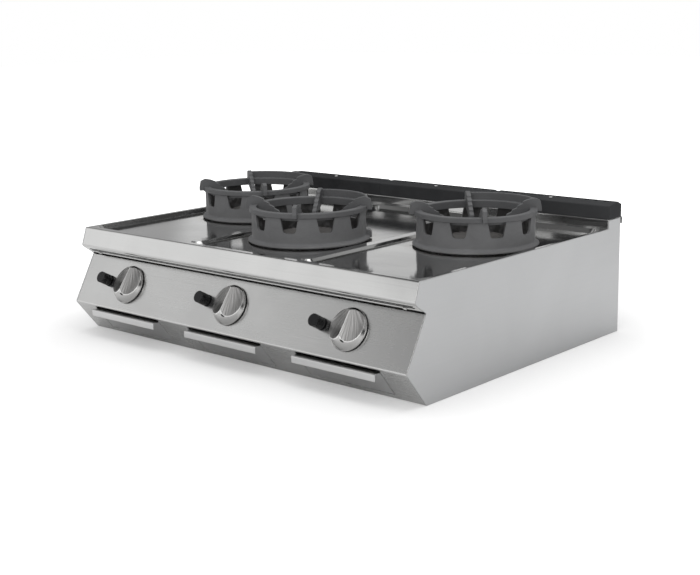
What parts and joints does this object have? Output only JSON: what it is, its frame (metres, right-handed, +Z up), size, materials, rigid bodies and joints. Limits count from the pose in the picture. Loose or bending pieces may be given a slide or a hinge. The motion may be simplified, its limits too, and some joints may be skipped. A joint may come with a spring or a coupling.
{
  "type": "countertop wok range",
  "caption": "Countertop gas wok range in stainless steel with ringed burners, lift-off pan supports, control knobs, push igniters, pull-out drip trays and a rear flue cover.",
  "frame": {"origin": "on the bench under the middle of the range", "axes": "+X to the right, +Y to the back (the controls face -Y), +Z up"},
  "size_m": [0.9, 0.704, 0.2959],
  "materials": {
    "casing_steel": "fine brushed",
    "deck_steel": "bright, nearly mirror-like",
    "zinc_steel": "zinc-coated sheet",
    "tray_steel": "satin",
    "pipe_steel": "drawn tube",
    "flue_iron": "black enamelled casting",
    "ring_iron": "dark grey casting",
    "support_iron": "dark grey casting",
    "burner_iron": "bare casting",
    "electrode_ceramic": "glazed white",
    "gas_brass": "machined",
    "knob_metal": "polished skirt, brushed scoops",
    "igniter_plastic": "black, ribbed",
    "fastener_chrome": "bright"
  },
  "bodies": {
    "casing": {"back_panel": "zinc_steel", "base_panel": "zinc_steel", "burner_body_left": "burner_iron", "burner_body_middle": "burner_iron", "burner_body_right": "burner_iron", "burner_carrier_left": "zinc_steel", "burner_carrier_middle": "zinc_steel", "burner_carrier_right": "zinc_steel", "burner_crown_left": "burner_iron", "burner_crown_middle": "burner_iron", "burner_crown_right": "burner_iron", "flue_grille_left": "flue_iron", "flue_grille_middle": "flue_iron", "flue_grille_right": "flue_iron", "front_panel": "casing_steel", "gas_inlet": "pipe_steel", "gas_manifold": "pipe_steel", "gas_valve_left": "gas_brass", "gas_valve_middle": "gas_brass", "gas_valve_right": "gas_brass", "heat_shield": "zinc_steel", "igniter_body_left": "igniter_plastic", "igniter_body_middle": "igniter_plastic", "igniter_body_right": "igniter_plastic", "igniter_nuts": "igniter_plastic", "manifold_clamps": "zinc_steel", "nose_bracket_left": "zinc_steel", "nose_bracket_right": "zinc_steel", "screws": "fastener_chrome", "side_panel_left": "casing_steel", "side_panel_right": "casing_steel", "spark_electrode_left": "electrode_ceramic", "spark_electrode_middle": "electrode_ceramic", "spark_electrode_right": "electrode_ceramic", "supply_tube_left": "gas_brass", "supply_tube_middle": "gas_brass", "supply_tube_right": "gas_brass", "tray_rails_left": "zinc_steel", "tray_rails_middle": "zinc_steel", "tray_rails_right": "zinc_steel", "worktop": "deck_steel"},
    "knob_shaft_left": {"valve_spindle_left": "gas_brass"},
    "control_knob_left": {"knob_left": "knob_metal"},
    "piezo_button_left": {"igniter_button_left": "igniter_plastic"},
    "tray_left": {"drip_tray_left": "tray_steel"},
    "ring_left": {"chamber_ring_left": "ring_iron"},
    "support_left": {"pan_support_left": "support_iron"},
    "knob_shaft_middle": {"valve_spindle_middle": "gas_brass"},
    "control_knob_middle": {"knob_middle": "knob_metal"},
    "piezo_button_middle": {"igniter_button_middle": "igniter_plastic"},
    "tray_middle": {"drip_tray_middle": "tray_steel"},
    "ring_middle": {"chamber_ring_middle": "ring_iron"},
    "support_middle": {"pan_support_middle": "support_iron"},
    "knob_shaft_right": {"valve_spindle_right": "gas_brass"},
    "control_knob_right": {"knob_right": "knob_metal"},
    "piezo_button_right": {"igniter_button_right": "igniter_plastic"},
    "tray_right": {"drip_tray_right": "tray_steel"},
    "ring_right": {"chamber_ring_right": "ring_iron"},
    "support_right": {"pan_support_right": "support_iron"}
  },
  "joints": [
    {"name": "turn_knob_left", "type": "hinge", "parent": "casing", "child": "knob_shaft_left", "pos_m": [-0.3, -0.31745, 0.11408], "axis": [0, -0.8746, 0.4848], "range_deg": [0, 210]},
    {"name": "push_knob_left", "type": "slide", "parent": "knob_shaft_left", "child": "control_knob_left", "axis": [0, 0.8746, -0.4848], "range_m": [0, 0.002], "stiffness_N_per_m": 2500, "springref_m": -0.002},
    {"name": "push_igniter_left", "type": "slide", "parent": "casing", "child": "piezo_button_left", "axis": [0, 0.8746, -0.4848], "range_m": [0, 0.004], "stiffness_N_per_m": 900, "springref_m": -0.002},
    {"name": "pull_tray_left", "type": "slide", "parent": "casing", "child": "tray_left", "axis": [0, -1, 0], "range_m": [0, 0.45]},
    {"name": "lift_chamber_ring_left", "type": "slide", "parent": "casing", "child": "ring_left", "axis": [0, 0, 1], "range_m": [0, 0.1]},
    {"name": "lift_pan_support_left", "type": "slide", "parent": "ring_left", "child": "support_left", "axis": [0, 0, 1], "range_m": [0, 0.1]},
    {"name": "turn_knob_middle", "type": "hinge", "parent": "casing", "child": "knob_shaft_middle", "pos_m": [0, -0.31745, 0.11408], "axis": [0, -0.8746, 0.4848], "range_deg": [0, 210]},
    {"name": "push_knob_middle", "type": "slide", "parent": "knob_shaft_middle", "child": "control_knob_middle", "axis": [0, 0.8746, -0.4848], "range_m": [0, 0.002], "stiffness_N_per_m": 2500, "springref_m": -0.002},
    {"name": "push_igniter_middle", "type": "slide", "parent": "casing", "child": "piezo_button_middle", "axis": [0, 0.8746, -0.4848], "range_m": [0, 0.004], "stiffness_N_per_m": 900, "springref_m": -0.002},
    {"name": "pull_tray_middle", "type": "slide", "parent": "casing", "child": "tray_middle", "axis": [0, -1, 0], "range_m": [0, 0.45]},
    {"name": "lift_chamber_ring_middle", "type": "slide", "parent": "casing", "child": "ring_middle", "axis": [0, 0, 1], "range_m": [0, 0.1]},
    {"name": "lift_pan_support_middle", "type": "slide", "parent": "ring_middle", "child": "support_middle", "axis": [0, 0, 1], "range_m": [0, 0.1]},
    {"name": "turn_knob_right", "type": "hinge", "parent": "casing", "child": "knob_shaft_right", "pos_m": [0.3, -0.31745, 0.11408], "axis": [0, -0.8746, 0.4848], "range_deg": [0, 210]},
    {"name": "push_knob_right", "type": "slide", "parent": "knob_shaft_right", "child": "control_knob_right", "axis": [0, 0.8746, -0.4848], "range_m": [0, 0.002], "stiffness_N_per_m": 2500, "springref_m": -0.002},
    {"name": "push_igniter_right", "type": "slide", "parent": "casing", "child": "piezo_button_right", "axis": [0, 0.8746, -0.4848], "range_m": [0, 0.004], "stiffness_N_per_m": 900, "springref_m": -0.002},
    {"name": "pull_tray_right", "type": "slide", "parent": "casing", "child": "tray_right", "axis": [0, -1, 0], "range_m": [0, 0.45]},
    {"name": "lift_chamber_ring_right", "type": "slide", "parent": "casing", "child": "ring_right", "axis": [0, 0, 1], "range_m": [0, 0.1]},
    {"name": "lift_pan_support_right", "type": "slide", "parent": "ring_right", "child": "support_right", "axis": [0, 0, 1], "range_m": [0, 0.1]}
  ]
}
